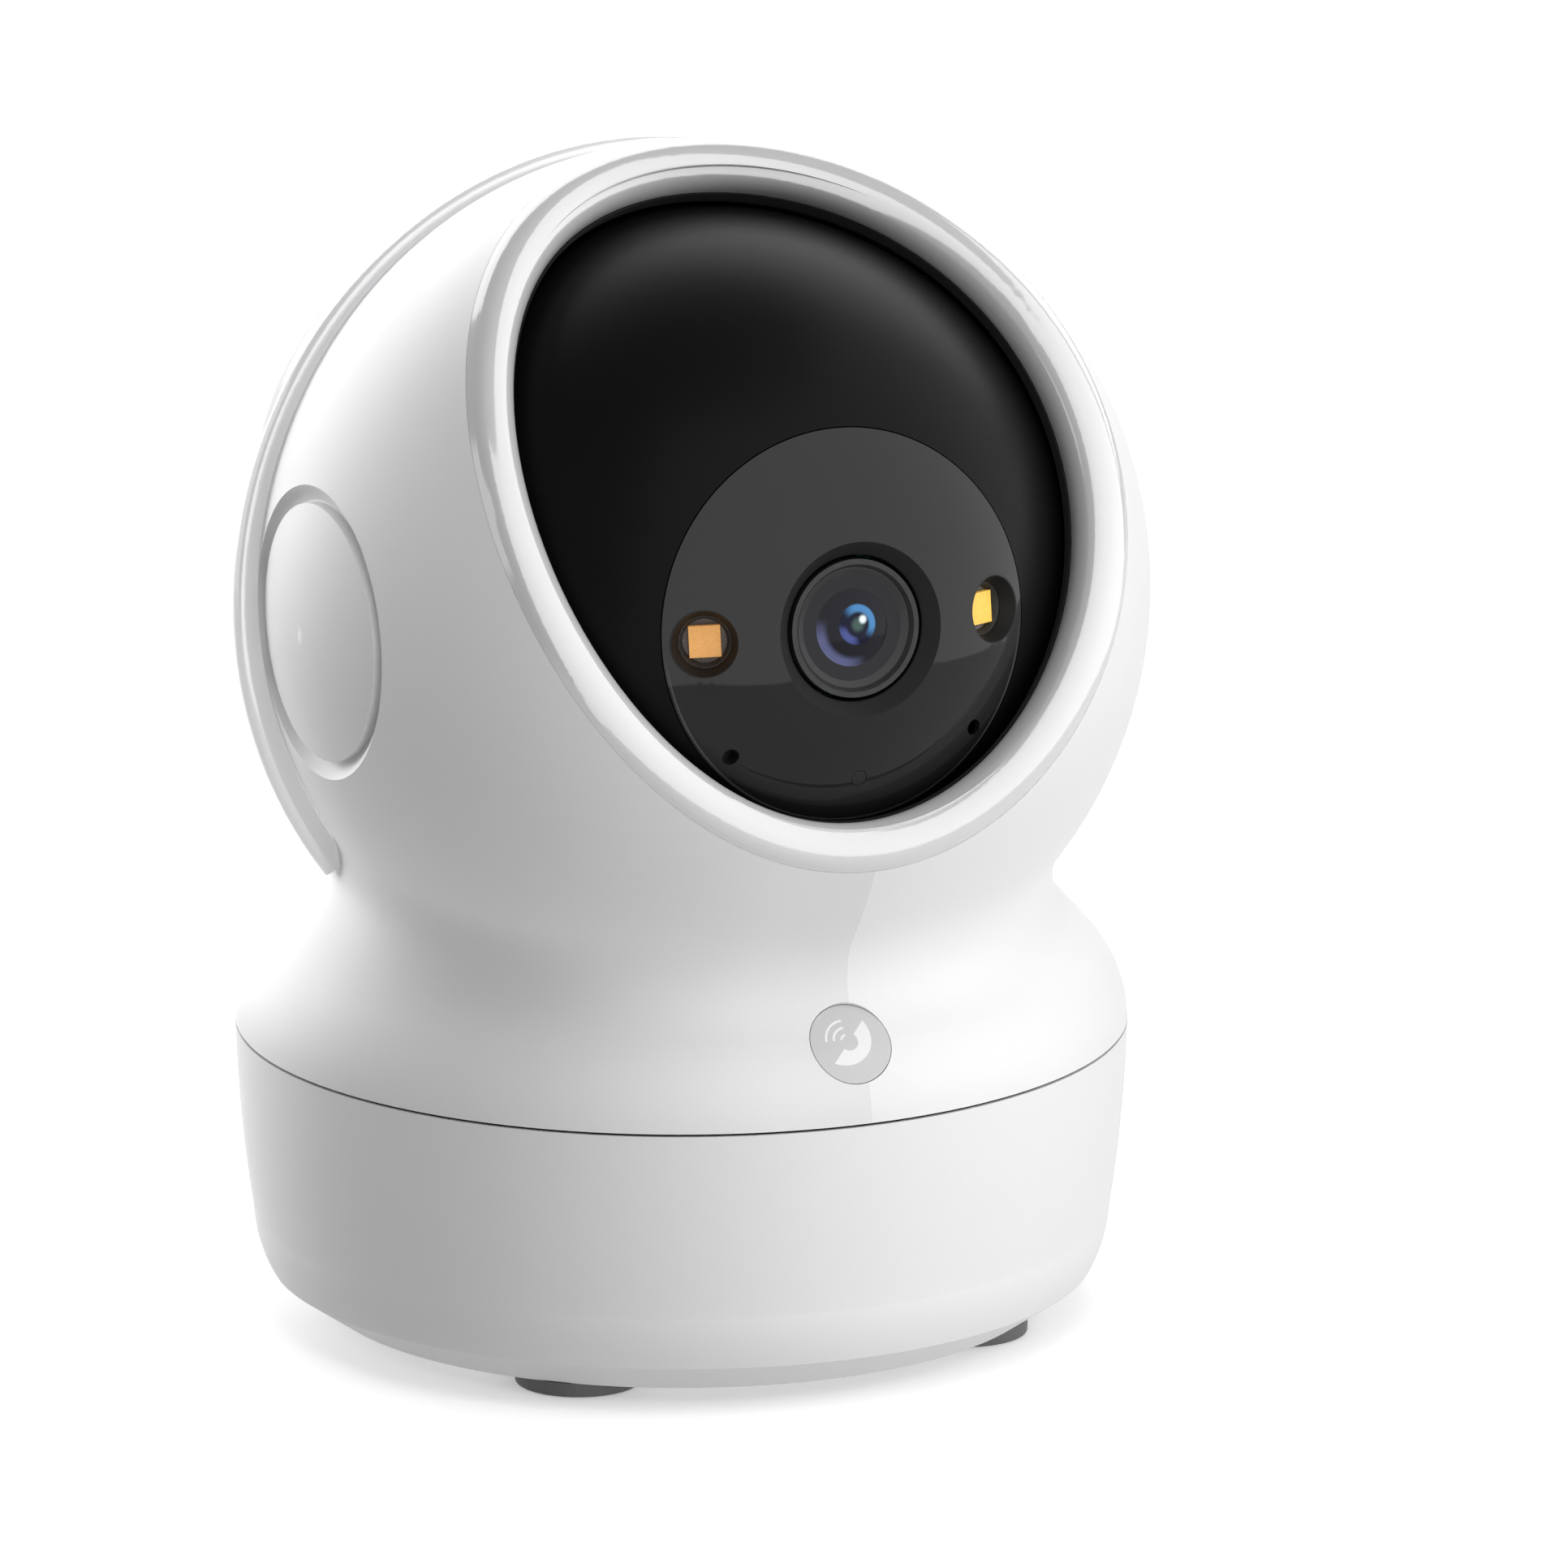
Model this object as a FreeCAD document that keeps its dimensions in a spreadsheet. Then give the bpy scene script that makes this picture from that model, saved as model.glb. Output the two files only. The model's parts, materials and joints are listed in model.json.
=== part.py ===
"""Indoor pan and tilt security camera, a parametric FreeCAD document.

Frame: millimetres, +Z up, the lens looks along -Y, the base axis is the Z axis and the
feet rest on z = 0.  Each sub-part is written to parts/NODE.step.
"""
import FreeCAD, Part
import math
import os
import Sketcher
from FreeCAD import Placement, Rotation, Vector

doc = FreeCAD.newDocument("PanTiltCamera")

# ---------------------------------------------------------------- driving dimensions
SIZES = {
    # base drum
    "foot_height": 1.4, "foot_radius": 6.0, "foot_circle": 28.5, "foot_sink": 0.4, "foot_peg": 3.8,
    "base_floor": 1.4, "flat_radius": 34.2, "facet_radius": 39.0, "facet_z": 4.6,
    "waist_radius": 40.6, "waist_z": 10.0, "rim_radius": 42.3, "rim_z": 28.2,
    "side_bulge": 140.0, "corner_bulge": 12.0, "wall": 2.0, "rim_width": 2.2,
    "deck_z": 25.4, "deck_thick": 2.2, "deck_hole": 15.0,
    "cover_radius": 32.8, "cover_hole": 33.0, "cover_thick": 2.5,
    "post_radius": 2.6, "screw_radius": 1.1, "screw_head": 2.3,
    "boss_radius": 8.0, "insert_top": 8.6, "insert_radius": 5.4, "thread_radius": 3.175,
    "sound_x": 39.0, "sound_z": 15.0, "sound_width": 1.4, "sound_pitch": 2.6, "sound_height": 12.0,
    "inlet_y": 40.0, "inlet_z": 9.7, "inlet_width": 11.4, "inlet_height": 6.2,
    "board_z": 9.6, "board_thick": 1.6, "board_x": 34.0, "board_y": 46.0, "board_back": 11.0,
    "stand_radius": 2.4, "socket_y": 34.4, "socket_width": 9.0, "socket_height": 3.3,
    "speaker_radius": 9.4, "speaker_x": 31.4, "motor_x": -25.0, "motor_ear": 14.0, "ear_z": 21.5,
    # pan stage
    "seam_gap": 0.28, "skirt_mid_radius": 39.6, "skirt_mid_z": 35.5, "skirt_top_radius": 28.6,
    "skirt_top_z": 48.0, "skirt_bulge": 11.5, "neck_fillet": 7.0,
    "head_y": -5.0, "head_z": 71.7, "head_radius": 42.24, "head_wall": 2.0,
    "hub_radius": 14.0, "plate_radius": 38.8, "plate_thick": 2.0,
    "bush_gap": 0.05, "gear_module": 0.6666667, "gear_teeth": 60, "pinion_teeth": 15,
    "gear_z": 21.6, "gear_thick": 3.0, "motor_radius": 10.0, "motor_height": 9.0,
    # opening, ring and rear cover
    "opening_tilt": 36.5, "opening_rise": 0.3, "opening_half_width": 32.6,
    "opening_half_height": 37.75, "ring_hole_width": 27.6, "ring_hole_height": 32.6,
    "ring_round": 2.6, "ring_back": 14.0, "lip_thick": 1.5, "lip_reach": 1.6, "fit_gap": 0.05,
    "ring_gap": 0.02,
    "ball_clear": 37.3, "seal_inner": 36.4, "seal_overhang": 0.3, "seal_cover": 3.0,
    "cover_centre_y": 1.5, "cover_centre_z": 70.05, "cover_sphere": 42.86, "cover_wall": 2.6,
    "cover_edge_y": 9.0, "cover_edge_slope": 5.7, "cover_end_angle": 37.4, "cover_round": 0.9,
    "dish_radius": 14.0, "dish_floor": 12.5, "dish_x": 38.9, "cap_radius": 12.25,
    "cap_rise": 42.1, "cap_rim_x": 39.9,
    # call button
    "button_x": -0.8, "button_z": 35.65, "button_reach": 39.4, "button_slope": 33.5,
    "button_radius": 4.0, "button_gap": 0.08, "button_depth": 3.5, "switch_depth": 8.55,
    # tilting ball
    "rest_tilt": 6.85, "ball_radius": 36.0, "ball_wall": 1.8, "flat_x": 29.0,
    "panel_radius": 18.6, "panel_gap": 0.12, "panel_thick": 1.4,
    "cone_radius": 8.3, "cone_inner": 6.95, "cone_floor": 33.7,
    "barrel_radius": 6.55, "barrel_front": 33.9, "barrel_back": 20.0, "glass_radius": 5.05,
    "glass_front": 33.1, "glass_deep": 2.6, "dome_edge": 3.68, "rim_inner": 5.75,
    "lamp_azimuth": 24.7, "lamp_mouth": 3.2, "lamp_floor": 2.1, "lamp_depth": 2.3,
    "lamp_side": 3.0, "mic_x": 12.6, "mic_drop": 11.06, "mic_radius": 0.75,
    "light_drop": 14.35, "light_radius": 0.72, "axle_radius": 3.0,
    "slot_angle": 46.0, "slot_width": 12.0, "slot_height": 1.8, "slot_x": -3.0, "reset_x": 9.5,
    "reset_radius": 1.4, "reset_gap": 0.12,
}
sheet = doc.addObject("Spreadsheet::Sheet", "dims")
for row, (alias, value) in enumerate(SIZES.items(), start=1):
    sheet.set("A%d" % row, alias)
    sheet.set("B%d" % row, repr(value))
    sheet.setAlias("B%d" % row, alias)
doc.recompute()


def size(alias):
    """Value of one cell of the sheet."""
    return float(sheet.get(alias))


def worded(text, change):
    """The expression with each word of the sheet changed, and no blank before a bracket."""
    words = text.replace("(", " ( ").replace(")", " ) ").split()
    return " ".join(change(w) if w in SIZES else w for w in words).replace(" (", "(")


def formula(text):
    """An expression that an object can hold: every word of the sheet gets the sheet's name."""
    return worded(text, lambda word: "dims." + word)


def value(text):
    """The number that an expression over the sheet gives."""
    sheet.set("D1", "=" + worded(text, lambda word: repr(size(word))))
    sheet.recompute()
    return float(sheet.get("D1"))


# ---------------------------------------------------------------- frames
CENTRE = Vector(0, size("head_y"), size("head_z"))


def leaning(angle):
    """Frame at the head centre whose z points forward, raised by the angle; y points up."""
    return Placement(CENTRE, Rotation(Vector(1, 0, 0), 90 - angle))


def at(frame, x=0.0, y=0.0, z=0.0, turn=None):
    return frame * Placement(Vector(x, y, z), turn or Rotation())


WORLD = Placement()
HEAD = Placement(CENTRE, Rotation())
LENS = leaning(size("rest_tilt"))
OPENING = leaning(size("opening_tilt"))


def sideways(sign):
    """Frame at the head centre whose z points out along the tilt axis."""
    return Placement(CENTRE, Rotation(Vector(0, 1, 0), 90 * sign))


def lamp_frame(sign):
    return at(LENS, turn=Rotation(Vector(0, 1, 0), sign * size("lamp_azimuth")))


# ---------------------------------------------------------------- helpers
def solid(kind, name, sizes, place=WORLD):
    item = doc.addObject("Part::" + kind, name)
    for prop, text in sizes.items():
        item.setExpression(prop, formula(text))
    item.Placement = place
    return item


def cylinder(name, radius, height, place=WORLD):
    return solid("Cylinder", name, {"Radius": radius, "Height": height}, place)


def cone(name, low, high, height, place=WORLD):
    return solid("Cone", name, {"Radius1": low, "Radius2": high, "Height": height}, place)


def sphere(name, radius, place=HEAD):
    return solid("Sphere", name, {"Radius": radius}, place)


def box(name, length, width, height, place=WORLD):
    """Box centred on its own x and y, standing on its own z = 0."""
    centred = at(place, -value(length) / 2, -value(width) / 2)
    return solid("Box", name, {"Length": length, "Width": width, "Height": height}, centred)


def fuse(name, *items):
    item = doc.addObject("Part::MultiFuse", name)
    item.Shapes = list(items)
    return item


def cut(name, base, *tools):
    item = doc.addObject("Part::Cut", name)
    item.Base = base
    item.Tool = tools[0] if len(tools) == 1 else fuse(name + "_tools", *tools)
    return item


def common(name, first, second):
    item = doc.addObject("Part::Common", name)
    item.Base, item.Tool = first, second
    return item


def group(name, *items):
    item = doc.addObject("Part::Compound", name)
    item.Links = list(items)
    return item


def copy_of(name, source, place=WORLD):
    """The source shape again, as a single boolean operand that may be placed elsewhere."""
    item = doc.addObject("Part::Compound", name)
    item.Links = [source]
    item.Placement = place
    return item


def tube(name, outer, inner, height, place=WORLD):
    return cut(name, cylinder(name + "_out", outer, height, place),
               cylinder(name + "_in", inner, height + " + 2", at(place, z=-1)))


def oval_prism(name, half_height, half_width, length, start=0.0):
    """Elliptic prism along the opening axis."""
    ellipse = doc.addObject("Part::Ellipse", name + "_ellipse")
    ellipse.setExpression("MajorRadius", formula(half_height))
    ellipse.setExpression("MinorRadius", formula(half_width))
    ellipse.Placement = at(OPENING, 0, size("opening_rise"), start, Rotation(Vector(0, 0, 1), 90))
    prism = doc.addObject("Part::Extrusion", name)
    prism.Base = ellipse
    prism.DirMode = "Custom"
    prism.Dir = OPENING.Rotation.multVec(Vector(0, 0, 1))
    prism.LengthFwd = length
    prism.Solid = True
    return prism


def body(name, place=WORLD):
    item = doc.addObject("PartDesign::Body", name)
    item.Placement = place
    return item


def outline(owner, name, plane, points):
    """Closed sketch through points (x, y, bulge); bulge is the radius of the edge that leaves
    the point, positive with its centre on the left, or None for a straight edge."""
    sketch = owner.newObject("Sketcher::SketchObject", name)
    origin = [f for f in owner.Origin.OriginFeatures if f.Role == plane][0]
    sketch.AttachmentSupport = [(origin, "")]
    sketch.MapMode = "FlatFace"
    spots = [Vector(value(x), value(y), 0) for x, y, bulge in points]
    ends = []
    for index, (x, y, bulge) in enumerate(points):
        start, stop = spots[index], spots[(index + 1) % len(points)]
        if bulge is None:
            sketch.addGeometry(Part.LineSegment(start, stop))
            ends.append((1, 2))
            continue
        radius = value(bulge)
        chord = stop - start
        left = Vector(-chord.y, chord.x, 0).normalize() * math.copysign(1, radius)
        rise = math.sqrt(radius ** 2 - (chord.Length / 2) ** 2)
        middle = (start + stop) / 2 + left * rise
        first, last = (start, stop) if radius > 0 else (stop, start)
        angles = [math.atan2(p.y - middle.y, p.x - middle.x) for p in (first, last)]
        circle = Part.Circle(middle, Vector(0, 0, 1), abs(radius))
        sketch.addGeometry(Part.ArcOfCircle(circle, *angles))
        ends.append((1, 2) if radius > 0 else (2, 1))
        number = sketch.addConstraint(Sketcher.Constraint("Radius", index, abs(radius)))
        sketch.setExpression("Constraints[%d]" % number, formula(bulge.lstrip("- ")))
    for index, (x, y, bulge) in enumerate(points):
        after = (index + 1) % len(points)
        sketch.addConstraint(Sketcher.Constraint(
            "Coincident", index, ends[index][1], after, ends[after][0]))
        for kind, text, axis in (("DistanceX", x, -2), ("DistanceY", y, -1)):
            number = value(text)
            if abs(number) < 1e-9:
                sketch.addConstraint(Sketcher.Constraint(
                    "PointOnObject", index, ends[index][0], axis))
                continue
            held = sketch.addConstraint(Sketcher.Constraint(
                kind, -1, 1, index, ends[index][0], number))
            sketch.setExpression("Constraints[%d]" % held, formula(text))
    return sketch


def turned(name, points, place=WORLD):
    """Body of revolution about its own z; the outline lies in its xz plane."""
    owner = body(name, place)
    sketch = outline(owner, name + "_outline", "XZ_Plane", points)
    turn = owner.newObject("PartDesign::Revolution", name + "_turn")
    turn.Profile = sketch
    turn.ReferenceAxis = (sketch, ["V_Axis"])
    turn.Angle = 360
    return owner


pieces = []


def piece(label, item):
    item.Label = label
    pieces.append(item)
    return item


def polar(radius, angle, z=0.0, frame=WORLD):
    """A place on a circle about the frame's z, its x pointing outwards."""
    lean = Rotation(Vector(0, 0, 1), angle)
    return frame * Placement(lean.multVec(Vector(radius, 0, z)), lean)


# ---------------------------------------------------------------- base
CORNERS = (45, 135, 225, 315)
BOARD_HOLES = ((-14, -9), (14, -9), (-14, 24), (14, 24))


def motor_ear(side, z):
    """Place of one of the two screws that hold the pan motor under the deck."""
    return at(WORLD, size("motor_x"), side * size("motor_ear"), z)


def base_shell():
    """Drum with a top deck; one outline turned about Z, then posts, inlet and sound slots."""
    drum = turned("drum", [
        ("flat_radius", "base_floor", None), ("facet_radius", "facet_z", "corner_bulge"),
        ("waist_radius", "waist_z", "side_bulge"), ("rim_radius", "rim_z", None),
        ("rim_radius - rim_width", "rim_z", None),
        ("rim_radius - rim_width", "deck_z + deck_thick", None),
        ("deck_hole", "deck_z + deck_thick", None), ("deck_hole", "deck_z", None),
        ("rim_radius - wall - 0.6", "deck_z", None), ("waist_radius - wall", "waist_z", None),
        ("facet_radius - wall", "facet_z + 1.2", None), ("cover_hole", "base_floor + wall", None),
        ("cover_hole", "base_floor", None)])
    height = "deck_z - base_floor - cover_thick - 0.1"
    low = value("base_floor + cover_thick + 0.15")
    posts = [tube("post_%d" % a, "post_radius", "screw_radius + 0.03", height,
                  polar(size("foot_circle"), a, low)) for a in CORNERS]
    ears = [tube("ear_post_%d" % side, "post_radius", "screw_radius - 0.27", "deck_z - ear_z",
                 motor_ear(side, size("ear_z"))) for side in (-1, 1)]
    sound = []
    for i in range(-3, 4):
        tall = size("sound_height") - 0.8 * abs(i)
        sound.append(box("sound_slot_%d" % i, "8", "sound_width", repr(tall), at(
            WORLD, size("sound_x"), size("sound_pitch") * i, size("sound_z") - tall / 2)))
    inlet = box("inlet_cut", "inlet_width", "12", "inlet_height",
                at(WORLD, 0, size("inlet_y"), size("inlet_z")))
    return piece("base_shell", cut("base_shell", fuse("drum_posts", drum, *posts, *ears),
                                   inlet, *sound))


def bottom_cover():
    floor = at(WORLD, z=value("base_floor + 0.1"))
    plate = cylinder("floor_plate", "cover_radius", "cover_thick", floor)
    boss = cylinder("floor_boss", "boss_radius", "insert_top - base_floor - 0.1", floor)
    stands = [cylinder("stand_%d" % i, "stand_radius", "board_z - base_floor - 2",
                       at(WORLD, x, y, value("base_floor + 2")))
              for i, (x, y) in enumerate(BOARD_HOLES)]
    sinks = [cylinder("foot_sink_%d" % a, "foot_peg + 0.05", "0.6",
                      polar(size("foot_circle"), a, value("foot_height + foot_sink - 0.6")))
             for a in CORNERS]
    heads = [cylinder("head_sink_%d" % a, "screw_head + 0.1", "1.2",
                      polar(size("foot_circle"), a, 1.8)) for a in CORNERS]
    holes = [cylinder("cover_bore_%d" % a, "screw_radius + 0.15", "6",
                      polar(size("foot_circle"), a, 1)) for a in CORNERS]
    taps = [cylinder("stand_bore_%d" % i, "0.93", "6", at(WORLD, x, y, 4.2))
            for i, (x, y) in enumerate(BOARD_HOLES)]
    bore = cylinder("insert_bore", "insert_radius", "12")
    return piece("bottom_cover", cut("bottom_cover", fuse("floor_all", plate, boss, *stands),
                                     bore, *sinks, *heads, *holes, *taps))


def rubber_feet():
    pads = [fuse("foot_%d" % a,
                 cylinder("pad_%d" % a, "foot_radius", "foot_height",
                          polar(size("foot_circle"), a)),
                 cylinder("peg_%d" % a, "foot_peg", "foot_height + foot_sink",
                          polar(size("foot_circle"), a)))
            for a in CORNERS]
    return piece("rubber_feet", group("rubber_feet", *pads))


def screw(name, place, length, radius="screw_radius"):
    """Pan head screw: its head's flat top at the place, the shank going up along z."""
    return fuse(name, cylinder(name + "_head", "screw_head", "1.0", place),
                cylinder(name + "_shank", radius, length, at(place, z=1.0)))


def bottom_screws():
    return piece("bottom_screws", group("bottom_screws", *[
        screw("base_screw_%d" % a, polar(size("foot_circle"), a, 1.9), "9") for a in CORNERS]))


def mount_insert():
    low = value("base_floor + 0.1")
    return piece("mount_insert", tube("mount_insert", "insert_radius - 0.02", "thread_radius",
                                      "insert_top - base_floor - 0.1", at(WORLD, z=low)))


def main_board():
    low, top = size("board_z"), value("board_z + board_thick")
    blank = common("board_blank", box("board_box", "board_x", "board_y", "board_thick",
                                      at(WORLD, 0, size("board_back"), low)),
                   cylinder("board_round", "35.5", "board_thick", at(WORLD, z=low)))
    holes = [cylinder("board_hole_%d" % i, "1.2", "4", at(WORLD, x, y, low - 1.1))
             for i, (x, y) in enumerate(BOARD_HOLES)]
    parts = (("12", "12", "1.2", 2, 6), ("7", "7", "1.0", -9, 14), ("5", "8", "2.4", 9, 16))
    chips = [box("board_chip_%d" % i, length, width, height, at(WORLD, x, y, top))
             for i, (length, width, height, x, y) in enumerate(parts)]
    return piece("main_board", cut("main_board", fuse("board_all", blank, *chips), *holes))


def board_screws():
    turn = Rotation(Vector(1, 0, 0), 180)
    return piece("board_screws", group("board_screws", *[
        screw("board_screw_%d" % i, at(WORLD, x, y, value("board_z + board_thick + 1.02"), turn),
              "6.5", "0.9")
        for i, (x, y) in enumerate(BOARD_HOLES)]))


def power_socket():
    """Flat power socket at the back of the base; its mouth faces +Y."""
    y, low = size("socket_y"), value("board_z + board_thick")
    case = box("socket_case", "socket_width", "8", "socket_height", at(WORLD, 0, y, low))
    cavity = box("socket_cavity", "socket_width - 1.2", "7", "socket_height - 1",
                 at(WORLD, 0, y + 1.1, low + 0.5))
    tongue = box("socket_tongue", "6", "6", "0.8", at(WORLD, 0, y + 0.2, low + 1.2))
    return piece("power_socket", fuse("power_socket", cut("socket_shell", case, cavity), tongue))


def speaker():
    """Small round driver facing the sound slots on the right side."""
    lean = Rotation(Vector(0, 1, 0), 90)
    out = Placement(Vector(size("speaker_x"), 0, size("sound_z") - 0.1), lean)
    frame = cut("speaker_frame", cylinder("speaker_rim", "speaker_radius", "5", out),
                cylinder("speaker_well", "speaker_radius - 1.2", "4", at(out, z=2.2)))
    magnet = cylinder("speaker_magnet", "5", "2.4", at(out, z=-2.2))
    dust = cone("speaker_cone", "3.2", "speaker_radius - 1.4", "1.8", at(out, z=2.0))
    hollow = cone("speaker_hollow", "2.2", "speaker_radius - 1.6", "1.9", at(out, z=2.6))
    return piece("speaker", fuse("speaker", frame, magnet, cut("speaker_paper", dust, hollow)))


def pan_motor():
    place = at(WORLD, size("motor_x"), 0, value("ear_z - 1.1 - motor_height"))
    can = cylinder("pan_can", "motor_radius", "motor_height", place)
    collar = cylinder("pan_collar", "3.4", "0.6", at(place, z=size("motor_height")))
    plate = box("pan_ears", "7", "2 * motor_ear + 6", "0.8", at(place, z=value("motor_height + 0.25")))
    shaft = cylinder("pan_shaft", "1.5", "4.4", at(place, z=size("motor_height")))
    holes = [cylinder("pan_ear_hole_%d" % side, "1.25", "3", motor_ear(side, 20)) for side in (-1, 1)]
    whole = fuse("pan_motor_all", can, collar, plate, shaft)
    return piece("pan_motor", cut("pan_motor", whole, *holes))


def motor_screws():
    return piece("pan_motor_screws", group("pan_motor_screws", *[
        screw("ear_screw_%d" % side, motor_ear(side, value("ear_z - 1.9")), "4.5", "0.8")
        for side in (-1, 1)]))


def pan_bush():
    return piece("pan_bush", tube("pan_bush", "deck_hole - 0.02", "hub_radius + bush_gap",
                                  "deck_thick + 0.4", at(WORLD, z=value("deck_z"))))


# ---------------------------------------------------------------- gears
def gear(label, teeth, bore, place):
    """Spur gear: root disc, one tooth pad and its polar pattern, and a centre bore."""
    owner = body(label, place)
    root = "gear_module * %s / 2 - 1.25 * gear_module" % teeth
    disc = owner.newObject("Sketcher::SketchObject", label + "_disc")
    flat = [f for f in owner.Origin.OriginFeatures if f.Role == "XY_Plane"][0]
    disc.AttachmentSupport = [(flat, "")]
    disc.MapMode = "FlatFace"
    for index, radius in enumerate((root, bore)):
        disc.addGeometry(Part.Circle(Vector(0, 0, 0), Vector(0, 0, 1), value(radius)))
        disc.addConstraint(Sketcher.Constraint("Coincident", index, 3, -1, 1))
        held = disc.addConstraint(Sketcher.Constraint("Radius", index, value(radius)))
        disc.setExpression("Constraints[%d]" % held, formula(radius))
    blank = owner.newObject("PartDesign::Pad", label + "_blank")
    blank.Profile = disc
    blank.setExpression("Length", formula("gear_thick"))
    tip = "gear_module * %s / 2 + 0.85 * gear_module" % teeth
    inner, foot, top = root + " - 0.4", "1.0 * gear_module", "0.3 * gear_module"
    sketch = outline(owner, label + "_tooth", "XY_Plane", [
        (inner, "-1 * " + foot, None), (tip, "-1 * " + top, None),
        (tip, top, None), (inner, foot, None)])
    tooth = owner.newObject("PartDesign::Pad", label + "_pad")
    tooth.Profile = sketch
    tooth.setExpression("Length", formula("gear_thick"))
    ring = owner.newObject("PartDesign::PolarPattern", label + "_ring")
    ring.Originals = [tooth]
    ring.Axis = (disc, ["N_Axis"])
    ring.Angle = 360
    ring.setExpression("Occurrences", formula(teeth))
    owner.Tip = ring
    return owner


def pan_gears():
    place = at(WORLD, z=size("gear_z"))
    piece("pan_gear", gear("pan_gear", "gear_teeth", "hub_radius - 3", place))
    half_pitch = Rotation(Vector(0, 0, 1), 180 / size("pinion_teeth"))
    piece("pan_pinion", gear("pan_pinion", "pinion_teeth", "1.56",
                             at(WORLD, size("motor_x"), 0, size("gear_z"), half_pitch)))


# ---------------------------------------------------------------- pan stage
def front_ring():
    """Rounded band around the opening with a thin lip that sits behind the shells' edge."""
    limit = oval_prism("ring_limit", "opening_half_height", "opening_half_width", 40, size("ring_back"))
    hole = oval_prism("ring_hole", "ring_hole_height", "ring_hole_width", 60, -2)
    band = cut("ring_band", common("ring_blank", sphere("ring_out", "head_radius"), limit), hole,
               sphere("ring_ball_room", "ball_clear"))
    doc.recompute()

    def on_inner_edge(p):
        spot = OPENING.inverse().multVec(p)
        across = spot.x / size("opening_half_width")
        along = (spot.y - size("opening_rise")) / size("opening_half_height")
        return abs(spot.Length - size("head_radius")) < 0.01 and math.hypot(across, along) < 0.95

    rounded = doc.addObject("Part::Fillet", "ring_rounded")
    rounded.Base = band
    radius = size("ring_round")
    rounded.Edges = [(i, radius, radius) for i in edges_near(band.Shape, on_inner_edge)]
    shell = cut("lip_shell", sphere("lip_out", "head_radius - head_wall - 0.08"),
                sphere("lip_in", "head_radius - head_wall - lip_thick"))
    wide = oval_prism("lip_limit", "opening_half_height + lip_reach",
                      "opening_half_width + lip_reach", 40)
    narrow = oval_prism("lip_hole", "ring_hole_height + lip_reach",
                        "ring_hole_width + lip_reach", 50, -1)
    lip = cut("ring_lip", common("lip_band", shell, wide), narrow)
    return piece("front_ring", fuse("front_ring", rounded, lip))


def skirt_points(inset, drop):
    edge = "rim_z + seam_gap"
    return [("0", edge + " - %s" % drop, None),
            ("rim_radius - %s" % inset, edge + " - %s" % drop, None),
            ("rim_radius - %s" % inset, edge + " + 0.01", "skirt_bulge"),
            ("skirt_mid_radius - %s" % inset, "skirt_mid_z", None),
            ("skirt_top_radius - %s" % inset, "skirt_top_z", None), ("0", "skirt_top_z", None)]


def edges_near(shape, test):
    """Numbers of the edges that pass the test at three places along them."""
    def along(edge, share):
        first, last = edge.FirstParameter, edge.LastParameter
        return edge.valueAt(first + share * (last - first))
    return [i for i, edge in enumerate(shape.Edges, start=1)
            if all(test(along(edge, share)) for share in (0.1, 0.5, 0.9))]


def pan_form():
    """Outside of the head and skirt in one, blended at the neck."""
    skirt = turned("skirt_form", skirt_points("0", "0"))
    whole = fuse("head_and_skirt", sphere("head_form", "head_radius"), skirt)
    doc.recompute()

    def on_neck(p):
        return abs((p - CENTRE).Length - size("head_radius")) < 0.01 and p.z < size("head_z") - 10

    blend = doc.addObject("Part::Fillet", "pan_form")
    blend.Base = whole
    radius = size("neck_fillet")
    blend.Edges = [(i, radius, radius) for i in edges_near(whole.Shape, on_neck)]
    return blend


def dish(sign):
    """Round recess in the head's side for the cap."""
    side = sideways(sign)
    floor = cylinder("dish_floor_%d" % sign, "dish_floor", "8", at(side, z=size("dish_x")))
    rise = cone("dish_cone_%d" % sign, "dish_floor", "dish_floor + 5.0", "3.2",
                at(side, z=size("dish_x")))
    return fuse("dish_%d" % sign, floor, rise)


def button_frame():
    """Frame on the front of the skirt whose z points out along the button's travel."""
    lean = Rotation(Vector(1, 0, 0), 90 - size("button_slope"))
    return Placement(Vector(size("button_x"), -size("button_reach"), size("button_z")), lean)


def pan_shells():
    outer = pan_form()
    hollow = fuse("pan_hollow", sphere("head_hollow", "head_radius - head_wall"),
                  turned("skirt_hollow", skirt_points("head_wall", "1")))
    opening = oval_prism("opening_cut", "opening_half_height + ring_gap",
                         "opening_half_width + ring_gap", 50, 8)
    bosses = [common("side_boss_%d" % s, cut("boss_blank_%d" % s,
                     cylinder("boss_disc_%d" % s, "15", "4", at(sideways(s), z=37.2)),
                     dish(s)), sphere("boss_limit_%d" % s, "head_radius - 0.5")) for s in (-1, 1)]
    wall = cut("pan_wall", outer, hollow, opening, dish(-1), dish(1),
               cylinder("button_hole", "button_radius + button_gap", "12", at(button_frame(), z=-6)))
    bores = [cylinder("bush_seat_%d" % s, "5.02", "6", at(sideways(s), z=36)) for s in (-1, 1)]
    whole = cut("pan_whole", fuse("pan_walls", wall, *bosses), *bores)
    for label, sign in (("pan_shell_left", -1), ("pan_shell_right", 1)):
        half = box(label + "_half", "60", "120", "140", at(WORLD, 30 * sign, 0, 0))
        piece(label, common(label, copy_of(label + "_source", whole), half))


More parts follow.
